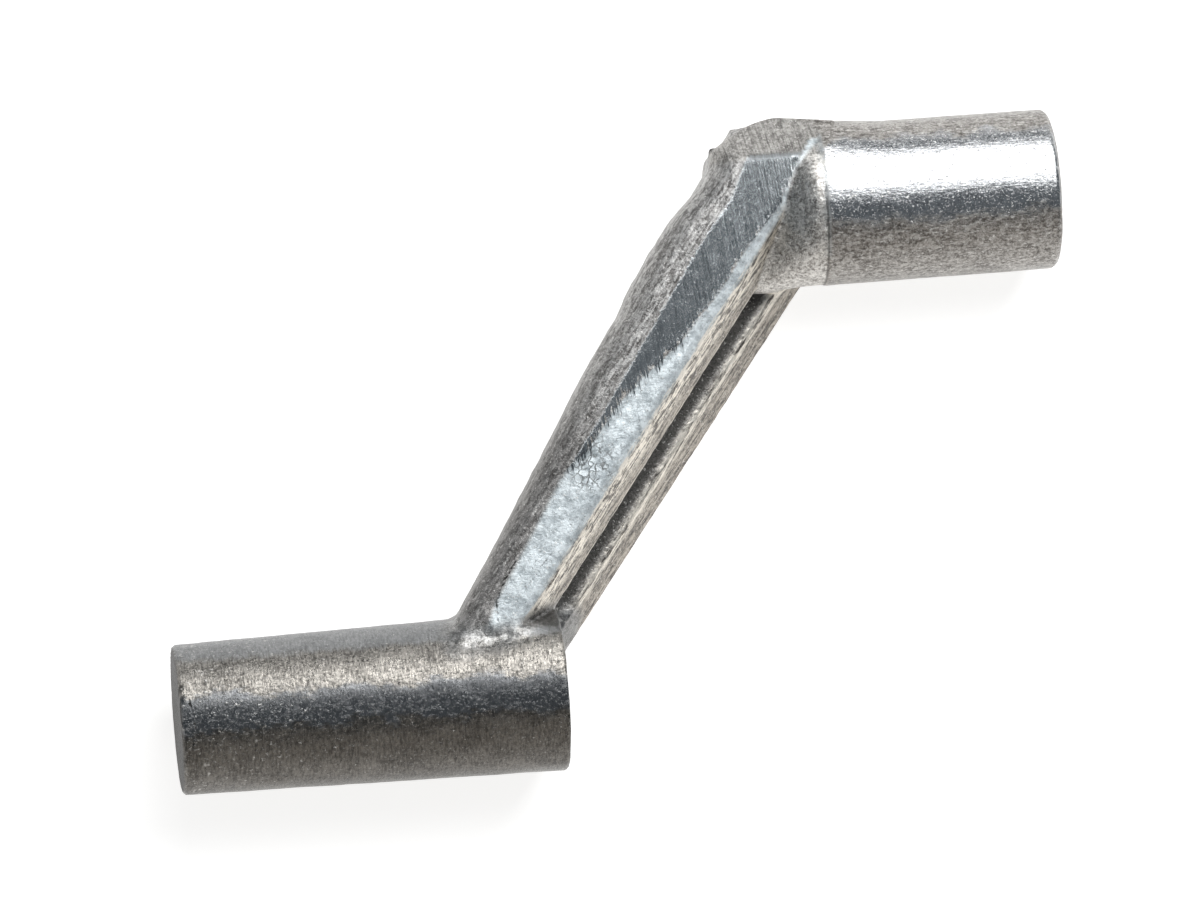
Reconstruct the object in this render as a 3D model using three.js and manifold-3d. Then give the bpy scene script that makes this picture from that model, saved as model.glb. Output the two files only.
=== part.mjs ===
// A die-cast crank handle: a socketed hub, a channel-section arm and a parallel grip in one casting,
// with the set screw that locks the hub on its drive shaft.
//
// Axes: +X runs out of the shaft socket along the hub's axis, +Y from the grip's axis to the hub's,
// +Z through the thickness. The origin is the centre of the socket's flat floor, where the shaft stops.

import * as THREE from 'three';
import { mergeVertices } from 'three/addons/utils/BufferGeometryUtils.js';
import Module from 'manifold-3d';

const wasm = await Module();
wasm.setup();

// ---------- Driving dimensions, in millimetres and degrees ----------

// Overall: how far the grip's free end lies behind the hub's mouth, and the crank's throw.
const overallLength = 90.6;
const throwLength = 45.85;

// Hub: a slightly tapered barrel with a splined blind socket.
const hubLength = 22.8;
const hubMouthRadius = 7.9;
const hubRootRadius = 7.94;
const hubEdgeRadius = 0.7;

// Socket, for a 5/16 in (7.94 mm) serrated shaft.
const socketDepth = 19.0;
const socketMajorRadius = 4.05;
const socketMinorRadius = 3.6;
const socketTeeth = 12;
const socketCrestShare = 0.35;
const socketRootShare = 0.675;
const socketFloorRadius = 3.4;
const socketFloorDepth = 1.5;
const socketChamfer = 0.6;

// Grip: a plain boss that narrows a little towards its free end.
const gripLength = 37.8;
const gripFreeRadius = 7.34;
const gripRootRadius = 7.9;
const gripEdgeRadius = 0.45;

// Arm: a channel whose open side is cut on a slant, so that the far wall is the deeper one.
const armAngle = 52.9;
const armHalfWidth = 6.3;
const armDepthAtHub = 12.75;
const armDepthAtGrip = 8.3;
const armBackRadius = 2.9;
const mouthSlant = 24;
const mouthBehindHubMouth = 23.35;
const slotMouthWidth = 3.9;
const slotFloorWidth = 3.2;
const slotOffset = -0.4;
const webThickness = 3.0;
const wallEdgeRadius = 0.5;
const slotTopBelowAxis = 7.7;
const backFilletSize = 1.25;
const backFilletWidth = 6;
const backFilletSink = 0.4;
const slotFloorCorner = 0.8;

// Elbow: the shoulder over the hub's blind end. It is round about the hub's axis, a little proud of the
// barrel, and two flats take its outer corner down to the arm's back.
const shoulderStations = [
  [20.5, 7.8],
  [24.8, 8.55],
  [27.6, 8.8],
  [overallLength, 8.8],
];
const elbowCorners = [
  [27.6, 8.8],
  [30.8, 8.3],
  [33.6, 6.1],
];

// Neck: where the hub narrows to sit between the arm's walls. Both run a little way into the barrel.
const neckLength = 8.0;
const neckHalfDepth = 3.7;
const neckTaperLength = 5.6;
const neckInset = 0.03;
const armInBarrel = 0.6;

// Set screw: a No. 10 (4.8 mm) cup-point screw, and its hole.
const screwBehindMouth = 8.0;
const screwDirection = 120;
const screwRadius = 2.4;
const screwHoleRadius = 2.6;
const screwHoleStart = 2;
const screwLength = 3.18;
const screwTipRadius = 4.25;
const screwKeyAcrossFlats = 2.38;
const screwKeyDepth = 1.6;
const screwCupRadius = 1.2;
const screwCupDepth = 0.5;
const screwEndChamfer = 0.35;
const screwTipChamfer = 0.56;

// How finely round shapes are cut, and how far a cutting shape runs past what it cuts.
const roundSegments = 72;
const smallRoundSegments = 40;
const arcSegments = 8;
const neckSteps = 10;
const finestDetail = 0.005;
const overcut = 1;

// ---------- Places worked out from the dimensions above ----------

const mouthX = socketDepth;
const hubRootX = mouthX - hubLength;
const gripFreeX = mouthX - overallLength;
const gripRootX = gripFreeX + gripLength;
const gripY = -throwLength;
const radians = THREE.MathUtils.degToRad;
const armDown = new THREE.Vector3(-Math.cos(radians(armAngle)), -Math.sin(radians(armAngle)), 0);
const armOut = new THREE.Vector3(Math.sin(radians(armAngle)), -Math.cos(radians(armAngle)), 0);
const armStart = new THREE.Vector3(mouthX - mouthBehindHubMouth, 0, 0);
const armRun = throwLength / Math.sin(radians(armAngle));
const armOverrunUp = 17;
const mouthOverrun = 10;
const mouthSlope = Math.tan(radians(mouthSlant));
const reach = 40;

// ---------- Solids ----------

// A closed three.js geometry as a solid that can be joined and cut.
function solid(geometry) {
  const bare = geometry.index ? geometry.toNonIndexed() : geometry.clone();
  bare.deleteAttribute('normal');
  bare.deleteAttribute('uv');
  const merged = mergeVertices(bare, 1e-4);
  return new wasm.Manifold(new wasm.Mesh({
    numProp: 3,
    vertProperties: new Float32Array(merged.attributes.position.array),
    triVerts: new Uint32Array(merged.index.array),
  }));
}

// A solid as a three.js geometry.
function geometryOf(body) {
  const mesh = body.getMesh();
  const geometry = new THREE.BufferGeometry();
  geometry.setAttribute('position', new THREE.BufferAttribute(new Float32Array(mesh.vertProperties), 3));
  geometry.setIndex(new THREE.BufferAttribute(new Uint32Array(mesh.triVerts), 1));
  geometry.computeVertexNormals();
  return geometry;
}

// A solid turned about a line parallel to X, from points of [x, radius] that start and end on the line.
function turned(points, axisY = 0, segments = roundSegments) {
  const geometry = new THREE.LatheGeometry(points.map(([x, r]) => new THREE.Vector2(r, x)), segments);
  geometry.rotateZ(-Math.PI / 2);
  geometry.translate(0, axisY, 0);
  return solid(geometry);
}

// A box from one corner to the opposite one.
function block(low, high) {
  const geometry = new THREE.BoxGeometry(high[0] - low[0], high[1] - low[1], high[2] - low[2]);
  geometry.translate((low[0] + high[0]) / 2, (low[1] + high[1]) / 2, (low[2] + high[2]) / 2);
  return solid(geometry);
}

// Points of a quarter round on a turned profile, about (x, r), from one angle to another in degrees.
function roundEdge(x, r, radius, from, to) {
  const points = [];
  for (let i = 0; i <= arcSegments; i += 1) {
    const angle = radians(from + ((to - from) * i) / arcSegments);
    points.push([x + radius * Math.cos(angle), r + radius * Math.sin(angle)]);
  }
  return points;
}

function hubBarrel() {
  return turned([
    [hubRootX, 0],
    [hubRootX, hubRootRadius],
    ...roundEdge(mouthX - hubEdgeRadius, hubMouthRadius - hubEdgeRadius, hubEdgeRadius, 90, 0),
    [mouthX, 0],
  ]);
}

// The hub's blind end: round at the barrel, narrowing in depth so that the arm's walls stand proud of it.
function neck() {
  const radius = hubRootRadius - neckInset;
  const geometry = new THREE.CylinderGeometry(radius, radius, neckLength + armInBarrel, roundSegments,
    neckSteps);
  geometry.rotateZ(-Math.PI / 2);
  geometry.translate(hubRootX + (armInBarrel - neckLength) / 2, 0, 0);
  const place = geometry.attributes.position;
  for (let i = 0; i < place.count; i += 1) {
    const back = THREE.MathUtils.clamp((hubRootX - place.getX(i)) / neckTaperLength, 0, 1);
    const narrowing = THREE.MathUtils.lerp(1, neckHalfDepth / hubRootRadius, Math.sin((back * Math.PI) / 2));
    place.setZ(i, place.getZ(i) * narrowing);
  }
  return solid(geometry);
}

function grip() {
  return turned([
    [gripFreeX, 0],
    ...roundEdge(gripFreeX + gripEdgeRadius, gripFreeRadius - gripEdgeRadius, gripEdgeRadius, 180, 90),
    ...roundEdge(gripRootX - gripEdgeRadius, gripRootRadius - gripEdgeRadius, gripEdgeRadius, 90, 0),
    [gripRootX, 0],
  ], gripY);
}

// A point of the arm: so far down it from the hub's axis, and so far towards its open side.
function armPoint(down, out) {
  return armStart.clone().addScaledVector(armDown, down).addScaledVector(armOut, out);
}

function armDepth(down) {
  return THREE.MathUtils.lerp(armDepthAtHub, armDepthAtGrip, down / armRun);
}

// A section drawn with x towards the open side and y through the thickness, swept down the arm. With
// tapers, its x below zero shrinks in step with the arm's depth.
function sweptDownArm(section, from, to, tapers) {
  const geometry = new THREE.ExtrudeGeometry(section, {
    depth: to - from,
    steps: 1,
    bevelEnabled: false,
    curveSegments: arcSegments,
  });
  const place = geometry.attributes.position;
  for (let i = 0; i < place.count; i += 1) {
    const down = from + place.getZ(i);
    const out = place.getX(i);
    const share = tapers && out < 0 ? (armDepth(down) - webThickness) / (armDepthAtHub - webThickness) : 1;
    const point = armPoint(down, out * share);
    place.setXYZ(i, point.x, point.y, place.getY(i));
  }
  return solid(geometry);
}

// What lies outside the arm's open side: the slanted plane that cuts both walls, with their worn edges.
function mouthSection() {
  const near = -armHalfWidth * mouthSlope;
  const far = -near;
  const edge = wallEdgeRadius;
  const section = new THREE.Shape();
  section.moveTo(near - edge, armHalfWidth + overcut);
  section.lineTo(near - edge, armHalfWidth);
  section.lineTo(near + edge * mouthSlope, armHalfWidth - edge);
  section.lineTo(far - edge * mouthSlope, edge - armHalfWidth);
  section.lineTo(far - edge, -armHalfWidth);
  section.lineTo(far - edge, -armHalfWidth - overcut);
  section.lineTo(reach, -armHalfWidth - overcut);
  section.lineTo(reach, armHalfWidth + overcut);
  section.closePath();
  return section;
}

function slotSection() {
  const floor = webThickness - armDepthAtHub;
  const outside = armHalfWidth;
  const corner = slotFloorCorner;
  const flare = ((slotMouthWidth - slotFloorWidth) / 2) * (outside / -floor);
  const section = new THREE.Shape();
  section.moveTo(outside, slotMouthWidth / 2 + flare);
  section.lineTo(floor + corner, slotFloorWidth / 2);
  section.quadraticCurveTo(floor, slotFloorWidth / 2, floor, slotFloorWidth / 2 - corner);
  section.lineTo(floor, corner - slotFloorWidth / 2);
  section.quadraticCurveTo(floor, -slotFloorWidth / 2, floor + corner, -slotFloorWidth / 2);
  section.lineTo(outside, -slotMouthWidth / 2 - flare);
  section.closePath();
  return section;
}

// The arm's side view, before its open side is cut: the tapering back, the elbow's flats and the shoulder.
function armOutline() {
  const footBack = armPoint(armRun, -armDepthAtGrip);
  const footFront = armPoint(armRun, armHalfWidth);
  const corners = elbowCorners.map(([back, height]) => new THREE.Vector2(mouthX - back, height));
  return [
    new THREE.Vector2(footBack.x, footBack.y),
    ...corners.reverse(),
    new THREE.Vector2(hubRootX + reach / 2, elbowCorners[0][1]),
    new THREE.Vector2(footFront.x + reach / 2, footFront.y),
  ];
}

// The outline moved inwards by a distance, so that a round bevel of that size brings it back.
function inset(outline, distance) {
  return outline.map((corner, i) => {
    const before = outline[(i + outline.length - 1) % outline.length];
    const after = outline[(i + 1) % outline.length];
    const along = corner.clone().sub(before).normalize();
    const onward = after.clone().sub(corner).normalize();
    const inward = new THREE.Vector2(along.y + onward.y, -along.x - onward.x).normalize();
    const spread = inward.dot(new THREE.Vector2(along.y, -along.x));
    return corner.clone().addScaledVector(inward, distance / spread);
  });
}

// The arm, cut off inside the hub barrel and rounded over the hub's blind end.
function arm() {
  const radius = armBackRadius;
  const depth = 2 * (armHalfWidth - radius);
  const body = new THREE.ExtrudeGeometry(new THREE.Shape(inset(armOutline(), radius)), {
    depth,
    bevelThickness: radius,
    bevelSize: radius,
    bevelSegments: arcSegments,
  });
  body.translate(0, 0, -depth / 2);
  const slot = sweptDownArm(slotSection(), -armOverrunUp, armRun + overcut, true)
    .translate([0, 0, slotOffset])
    .subtract(block([-reach, -slotTopBelowAxis, -reach], [reach, reach, reach]));
  const mouth = sweptDownArm(mouthSection(), -armOverrunUp - mouthOverrun, armRun + mouthOverrun, false);
  const shoulder = turned([
    [mouthX - shoulderStations[0][0], 0],
    ...shoulderStations.map(([back, r]) => [mouthX - back, r]),
    [gripFreeX, 0],
  ].reverse());
  const aboveAxis = block([gripFreeX + overcut, 0, -reach], [reach, reach, reach]);
  const pastBarrel = block([hubRootX + armInBarrel, -reach / 2, -reach], [2 * reach, reach, reach]);
  return solid(body)
    .subtract(mouth)
    .subtract(slot)
    .subtract(aboveAxis.subtract(shoulder))
    .subtract(pastBarrel);
}

// A concave fillet in the corner between two directions.
function fillet(corner, directionA, directionB, size, width) {
  const shape = new THREE.Shape();
  const a = new THREE.Vector2(...directionA).normalize();
  const b = new THREE.Vector2(...directionB).normalize();
  const c = new THREE.Vector2(...corner);
  const at = (u, v) => c.clone().addScaledVector(a, u).addScaledVector(b, v);
  const start = at(size, 0);
  const end = at(0, size);
  const heart = at(-backFilletSink, -backFilletSink);
  shape.moveTo(heart.x, heart.y);
  shape.lineTo(start.x, start.y);
  shape.quadraticCurveTo(c.x, c.y, end.x, end.y);
  shape.closePath();
  const geometry = new THREE.ExtrudeGeometry(shape, {
    depth: width,
    bevelEnabled: false,
    curveSegments: arcSegments,
  });
  geometry.translate(0, 0, -width / 2);
  return solid(geometry);
}

// The point of the arm's back at a height.
function armBackAt(y) {
  const low = armPoint(armRun, -armDepthAtGrip);
  const high = armPoint(0, -armDepthAtHub);
  return low.lerp(high, (y - low.y) / (high.y - low.y));
}

function backFillet() {
  const topOfGrip = gripY + gripRootRadius - backFilletSink / 2;
  const corner = armBackAt(topOfGrip);
  const above = armBackAt(topOfGrip + 1);
  return fillet([corner.x, corner.y], [-1, 0], [above.x - corner.x, above.y - corner.y],
    backFilletSize, backFilletWidth);
}

// The splined socket: a round core with teeth, a plain round pocket at its floor and a chamfered mouth.
function socket() {
  const corners = [];
  const halfTooth = Math.PI / socketTeeth;
  for (let tooth = 0; tooth < socketTeeth; tooth += 1) {
    const centre = (tooth * 2 * Math.PI) / socketTeeth;
    [
      [socketMinorRadius, -socketRootShare],
      [socketMajorRadius, -socketCrestShare],
      [socketMajorRadius, socketCrestShare],
      [socketMinorRadius, socketRootShare],
    ].forEach(([radius, share]) => {
      const angle = centre + share * halfTooth;
      corners.push(new THREE.Vector2(radius * Math.cos(angle), radius * Math.sin(angle)));
    });
  }
  const outline = new THREE.Shape(corners);
  const length = socketDepth - socketFloorDepth + overcut;
  const splines = new THREE.ExtrudeGeometry(outline, { depth: length, bevelEnabled: false });
  splines.rotateY(Math.PI / 2);
  splines.translate(socketFloorDepth, 0, 0);
  const pocket = turned([
    [0, 0],
    [0, socketFloorRadius],
    [socketFloorDepth + overcut, socketFloorRadius],
    [socketFloorDepth + overcut, 0],
  ]);
  const chamfer = turned([
    [mouthX - socketChamfer, 0],
    [mouthX - socketChamfer, socketMajorRadius - finestDetail],
    [mouthX + overcut, socketMajorRadius + socketChamfer + overcut],
    [mouthX + overcut, 0],
  ]);
  return solid(splines).add(pocket).add(chamfer);
}

// A geometry made along +Z, stood on the set screw's axis, with z counted from the hub's axis.
function onScrewAxis(geometry) {
  geometry.rotateX(-radians(screwDirection));
  geometry.translate(mouthX - screwBehindMouth, 0, 0);
  return geometry;
}

function screwHole() {
  const hole = new THREE.CylinderGeometry(
    screwHoleRadius,
    screwHoleRadius,
    hubRootRadius,
    smallRoundSegments,
  );
  hole.rotateX(Math.PI / 2);
  hole.translate(0, 0, hubRootRadius / 2 + screwHoleStart);
  return solid(onScrewAxis(hole));
}

function setScrew() {
  const top = screwTipRadius + screwLength;
  const profile = [
    [0, screwTipRadius + screwCupDepth],
    [screwCupRadius, screwTipRadius],
    [screwRadius - screwTipChamfer, screwTipRadius],
    [screwRadius, screwTipRadius + screwTipChamfer],
    [screwRadius, top - screwEndChamfer],
    [screwRadius - screwEndChamfer, top],
    [0, top],
  ];
  const body = new THREE.LatheGeometry(profile.map(([r, z]) => new THREE.Vector2(r, z)), smallRoundSegments);
  body.rotateX(Math.PI / 2);
  const keyRadius = screwKeyAcrossFlats / Math.sqrt(3);
  const key = new THREE.CylinderGeometry(keyRadius, keyRadius, screwKeyDepth + overcut, 6);
  key.rotateX(Math.PI / 2);
  key.translate(0, 0, top + (overcut - screwKeyDepth) / 2);
  return solid(onScrewAxis(body)).subtract(solid(onScrewAxis(key)));
}

function casting() {
  return arm()
    .add(backFillet())
    .add(grip())
    .add(neck())
    .add(hubBarrel())
    .subtract(socket())
    .subtract(screwHole())
    .simplify(finestDetail);
}

// ---------- The assembly ----------

const castZinc = new THREE.MeshStandardMaterial({ color: 0x8f9294, roughness: 0.45, metalness: 0.9 });
const blackSteel = new THREE.MeshStandardMaterial({ color: 0x33343a, roughness: 0.4, metalness: 0.9 });

function piece(name, body, material) {
  const mesh = new THREE.Mesh(geometryOf(body), material);
  mesh.name = name;
  return mesh;
}

const crankHandle = new THREE.Group();
crankHandle.add(piece('crank_casting', casting(), castZinc));
crankHandle.add(piece('set_screw', setScrew(), blackSteel));

export default crankHandle;
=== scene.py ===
"""Looks of the die-cast crank handle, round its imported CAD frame. Shapes are in millimetres."""

import math
from types import SimpleNamespace

import bpy
import numpy as np
from mathutils import Matrix, Vector

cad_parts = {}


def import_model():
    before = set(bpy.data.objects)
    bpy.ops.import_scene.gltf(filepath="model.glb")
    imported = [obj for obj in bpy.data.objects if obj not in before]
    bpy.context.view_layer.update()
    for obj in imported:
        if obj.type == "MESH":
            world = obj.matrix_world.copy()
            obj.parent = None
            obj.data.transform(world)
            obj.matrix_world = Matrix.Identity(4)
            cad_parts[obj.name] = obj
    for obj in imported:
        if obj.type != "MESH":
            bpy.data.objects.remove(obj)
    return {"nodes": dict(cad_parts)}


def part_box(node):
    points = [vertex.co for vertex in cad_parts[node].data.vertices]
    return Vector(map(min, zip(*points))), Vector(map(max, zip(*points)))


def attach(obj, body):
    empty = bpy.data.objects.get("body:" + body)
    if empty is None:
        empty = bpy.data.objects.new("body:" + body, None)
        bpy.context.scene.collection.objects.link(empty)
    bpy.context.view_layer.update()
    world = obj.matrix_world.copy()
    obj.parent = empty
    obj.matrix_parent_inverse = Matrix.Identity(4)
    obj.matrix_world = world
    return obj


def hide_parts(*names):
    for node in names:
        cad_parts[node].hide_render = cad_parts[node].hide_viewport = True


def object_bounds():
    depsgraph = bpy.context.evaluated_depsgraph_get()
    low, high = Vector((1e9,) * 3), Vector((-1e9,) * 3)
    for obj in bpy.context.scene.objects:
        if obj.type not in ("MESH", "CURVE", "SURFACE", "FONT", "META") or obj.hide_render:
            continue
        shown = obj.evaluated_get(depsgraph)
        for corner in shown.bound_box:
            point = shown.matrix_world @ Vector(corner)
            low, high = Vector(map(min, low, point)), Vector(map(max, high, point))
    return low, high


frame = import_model()
cad_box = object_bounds()
MM = 0.001

# ---------- Driving dimensions, in millimetres, in the frame of the CAD ----------

box_low, box_high = (np.array(corner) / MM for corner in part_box("crank_casting"))
mouth_x = float(box_high[0])
grip_free_x = float(box_low[0])
hub_root_x = mouth_x - 22.8
grip_root_x = grip_free_x + 37.8
grip_y = -45.85
# each bar's radius at its low-X end and at its high-X end
hub_radii = (7.94, 7.9)
grip_radii = (7.34, 7.9)
# where the hub's round bar starts, and the height of the arm's near face
rim_x = -4.35
near_z = 6.3

arm_angle = math.radians(52.9)
arm_start = (mouth_x - 23.35, 0.0)
arm_down = (-math.cos(arm_angle), -math.sin(arm_angle))
arm_out = (math.sin(arm_angle), -math.cos(arm_angle))
mouth_slope = math.tan(math.radians(24))
mouth_tilt = math.cos(math.radians(24))

# Stations down the arm, and there: the arm's depth, its crease's depth, the ground flat's edge
# and the rounding of the arm's back.
depth_s = [-12, 1.5, 3.5, 5.8, 9.7, 12.6, 16.7, 19.9, 24, 28.6, 36.3, 46.3, 57, 66]
depth_o = [12.9, 11.9, 11.05, 10.97, 11.5, 11.48, 11.25, 10.8, 10.72, 10.42, 9.68, 8.85, 8.1, 7.6]
crease_s = [-4, 0.7, 5.2, 10.7, 19.3, 30.7, 37.8, 46.5, 51, 57]
crease_o = [9.2, 8.5, 7.55, 7.75, 7.4, 6.95, 6.95, 6.2, 5.9, 4.6]
ground_s = [-8, -2, 3.7, 8.8, 12.8, 16.8, 20.2, 24.9, 29.1, 33.7, 36.5, 40]
ground_o = [4.6, 4.1, 3.3, 3.75, 3.65, 4.0, 4.3, 5.6, 6.2, 6.3, 7.1, 10.0]
rounding_s = [-6, 0, 5, 20, 57]
rounding_o = [4.3, 4.2, 3.7, 3.6, 2.7]

# The elbow's outline from its burr to the hub: corners, and how soft each flat runs in.
elbow_corners = [(-14.6, 5.9), (-11.6, 7.85), (-8.5, 8.72), (-3.0, 8.1)]
elbow_softness = [0.5, 0.35, 0.3]
# The ground facet over the elbow: where it meets the near face, and its direction in Y and Z.
facet_y = 4.5
facet_normal = (0.64, 0.768)

# The recess between the arm's walls.
back_thickness = 3.0
recess_half = 1.95
recess_draft = 0.03
recess_middle_z = -0.4
recess_end_y = -7.9

neck_radius = 7.86
neck_run = 7.0

spline_count = 12
spline_start_x = 1.5
socket_floor_radius = 3.4
spline_radii = (3.6, 4.05)
socket_chamfer = 0.6

screw_x = mouth_x - 8.0
screw_axis = np.array([0.0, math.sin(math.radians(120)), math.cos(math.radians(120))])
screw_tip = 4.25
screw_top = 7.43
screw_hole_radius = 2.55
screw_hole_floor = 2.0
screw_hole_flare = 0.5

# The cell of the casting's mesh.
cell_size = 0.34


# ---------- Smooth noise on points, the same every time ----------


def lattice(ix, iy, iz, seed):
    """A value in -1..1 for each whole-number lattice point, from an integer hash."""
    with np.errstate(over="ignore"):
        n = ix.astype(np.uint32) * np.uint32(374761393)
        n += iy.astype(np.uint32) * np.uint32(668265263)
        n += iz.astype(np.uint32) * np.uint32(2246822519)
        n += np.uint32(seed * 3266489917 % 4294967296)
        n = (n ^ (n >> np.uint32(13))) * np.uint32(1274126177)
        n ^= n >> np.uint32(16)
    return n.astype(np.float64) / 2147483648.0 - 1.0


def noise(p, size, seed):
    """Smooth noise in -1..1 whose lumps are about size across. size is one number or three."""
    q = p / np.asarray(size, float) + 1000.0
    base = np.floor(q)
    f = q - base
    f = f * f * (3 - 2 * f)
    i = base.astype(np.int64)
    total = 0.0
    for dx in (0, 1):
        for dy in (0, 1):
            for dz in (0, 1):
                corner = np.array((dx, dy, dz))
                weight = np.abs(1 - corner - f).prod(axis=1)
                total = total + weight * lattice(*(i + corner).T, seed)
    return total


def fractal(p, size, seed, octaves=3):
    """The noise and its finer octaves, each half as strong as the last."""
    total, weight = 0.0, 1.0
    for octave in range(octaves):
        total = total + weight * noise(p, np.asarray(size, float) / 2**octave, seed + octave)
        weight *= 0.5
    return total


# ---------- Signed distances, negative inside ----------


def smin(a, b, k):
    """The union of two bodies, with a fillet about k wide."""
    h = np.maximum(k - np.abs(a - b), 0) / k
    return np.minimum(a, b) - h * h * k * 0.25


def smax(a, b, k):
    """The common part of two bodies, with its edge rounded about k wide."""
    return -smin(-a, -b, k)


def ramp(value, low, high):
    """0 below low, 1 above high, smooth between. low may be above high."""
    t = np.clip((value - low) / (high - low), 0, 1)
    return t * t * (3 - 2 * t)


def barrel(x, r, low, high, radii, edges):
    """A round bar along X whose radius and edge rounding change from one end to the other."""
    share = np.clip((x - low) / (high - low), 0, 1)
    radius = radii[0] + (radii[1] - radii[0]) * share
    edge = np.where(share < 0.5, edges[0], edges[1])
    qx = np.abs(x - (low + high) / 2) - (high - low) / 2 + edge
    qr = r - radius + edge
    body = np.minimum(np.maximum(qx, qr), 0)
    return body + np.hypot(np.maximum(qx, 0), np.maximum(qr, 0)) - edge


def capsule(x, y, z, a, b, radius):
    """A round rod with ball ends, from a to b."""
    a, b = np.array(a, float), np.array(b, float)
    d = b - a
    px, py, pz = x - a[0], y - a[1], z - a[2]
    t = np.clip((px * d[0] + py * d[1] + pz * d[2]) / (d @ d), 0, 1)
    return np.sqrt((px - t * d[0]) ** 2 + (py - t * d[1]) ** 2 + (pz - t * d[2]) ** 2) - radius


def down_and_out(x, y):
    """How far down the arm from the hub's axis, and how far out towards its open side."""
    px, py = x - arm_start[0], y - arm_start[1]
    return px * arm_down[0] + py * arm_down[1], px * arm_out[0] + py * arm_out[1]


def mouth_distance(s, o, z):
    """Past the slanted plane that cuts the open side. The far wall is fuller at its top."""
    fuller = 0.45 * np.clip(1 - s / 50, 0, 1.1) * np.clip(-z / 6, 0, 1)
    return (o + z * mouth_slope - fuller) * mouth_tilt


def recess_distance(s, o, y, z):
    """The recess between the channel's walls: negative in the recess."""
    floor = np.interp(s, depth_s, depth_o) - back_thickness
    half = recess_half + recess_draft * np.clip(o, -12, 3)
    side = np.abs(z - recess_middle_z) - half
    return smax(smax(side, -(o + floor), 0.9), y - recess_end_y, 0.5)


def near_height(s, o):
    """Height of the arm's near face: ground flat, or cast skin that falls away beyond the flat."""
    beyond = o + np.interp(s, ground_s, ground_o)
    lower = 0.035 * np.clip(beyond, 0, 9) + 0.10 * ramp(beyond, 0, 0.5) + 0.12 * ramp(s, 30, 56)
    return near_z - lower


def elbow_outline(x, y, outline):
    """The arm's outline as seen from the side, cut by the flats of the elbow."""
    flats = zip(elbow_corners, elbow_corners[1:], elbow_softness, strict=False)
    for (ax, ay), (bx, by), soft in flats:
        length = math.hypot(bx - ax, by - ay)
        past = ((x - ax) * (ay - by) + (y - ay) * (bx - ax)) / length
        outline = smax(outline, past, soft)
    return outline


def arm(x, y, z):
    """The channel arm, from the elbow down to the grip's axis."""
    s, o = down_and_out(x, y)
    near = near_height(s, o)
    half = np.where(z > 0, near, near_z)
    edge = np.interp(s, rounding_s, rounding_o)
    outline = elbow_outline(x, y, -o - np.interp(s, depth_s, depth_o))
    outline = np.maximum(outline, x - hub_root_x - 2.5)
    # a rounded slab, a little too thick, whose two faces are then cut flat
    spare = 0.32
    qo = outline + edge
    qz = np.abs(z) - half - spare + edge
    body = np.minimum(np.maximum(qo, qz), 0)
    body = body + np.hypot(np.maximum(qo, 0), np.maximum(qz, 0)) - edge
    body = smax(body, z - near, 0.12)
    body = smax(body, -z - near_z, 0.5)
    top_facet = (y - facet_y) * facet_normal[0] + (z - near_z) * facet_normal[1] - 0.02
    body = np.maximum(body, top_facet)
    body = smax(body, mouth_distance(s, o, z), 0.5 + 0.5 * ramp(z, 1.5, 4.5))
    body = smax(body, -recess_distance(s, o, y, z), 0.3)
    body = np.maximum(body, grip_y - y)
    return smax(body, x - hub_root_x - 1.5, 0.3)


def neck(x, y, z):
    """The hub's blind end, between the arm's walls: it narrows in depth and grows taller."""
    back = np.clip((rim_x - x) / neck_run, 0, 1)
    deep = neck_radius * (1 - 0.52 * ramp(back, 0.06, 1.0))
    tall = neck_radius + 0.35 * ramp(back, 0.1, 1.0)
    rho = np.hypot(y / tall, z / deep) + 1e-6
    slope = np.hypot(y / tall**2, z / deep**2) / rho
    round_part = (rho - 1) / np.maximum(slope, 0.05)
    return np.maximum(round_part, np.maximum(rim_x - 8.0 - x, x - rim_x - 1.0))


def socket(x, r, angle):
    """The splined socket: a plain pocket at its floor, the splines and a chamfered mouth."""
    wave = (angle / (2 * math.pi) * spline_count) % 1.0
    tooth = ramp(np.abs(wave - 0.5), 0.16, 0.36)
    low, high = spline_radii
    wall = np.where(x < spline_start_x, socket_floor_radius, low + (high - low) * tooth)
    wall = np.maximum(wall, high + (x - mouth_x + socket_chamfer))
    return np.maximum((r - wall) * 0.8, -x)


def screw_hole(x, y, z):
    """The set screw's plain hole, flared where it comes out of the hub."""
    along = y * screw_axis[1] + z * screw_axis[2]
    across = np.hypot(x - screw_x, y * screw_axis[2] - z * screw_axis[1])
    radius = screw_hole_radius + screw_hole_flare * ramp(along, 7.0, 8.2)
    return np.maximum(across - radius, screw_hole_floor - along)


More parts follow.
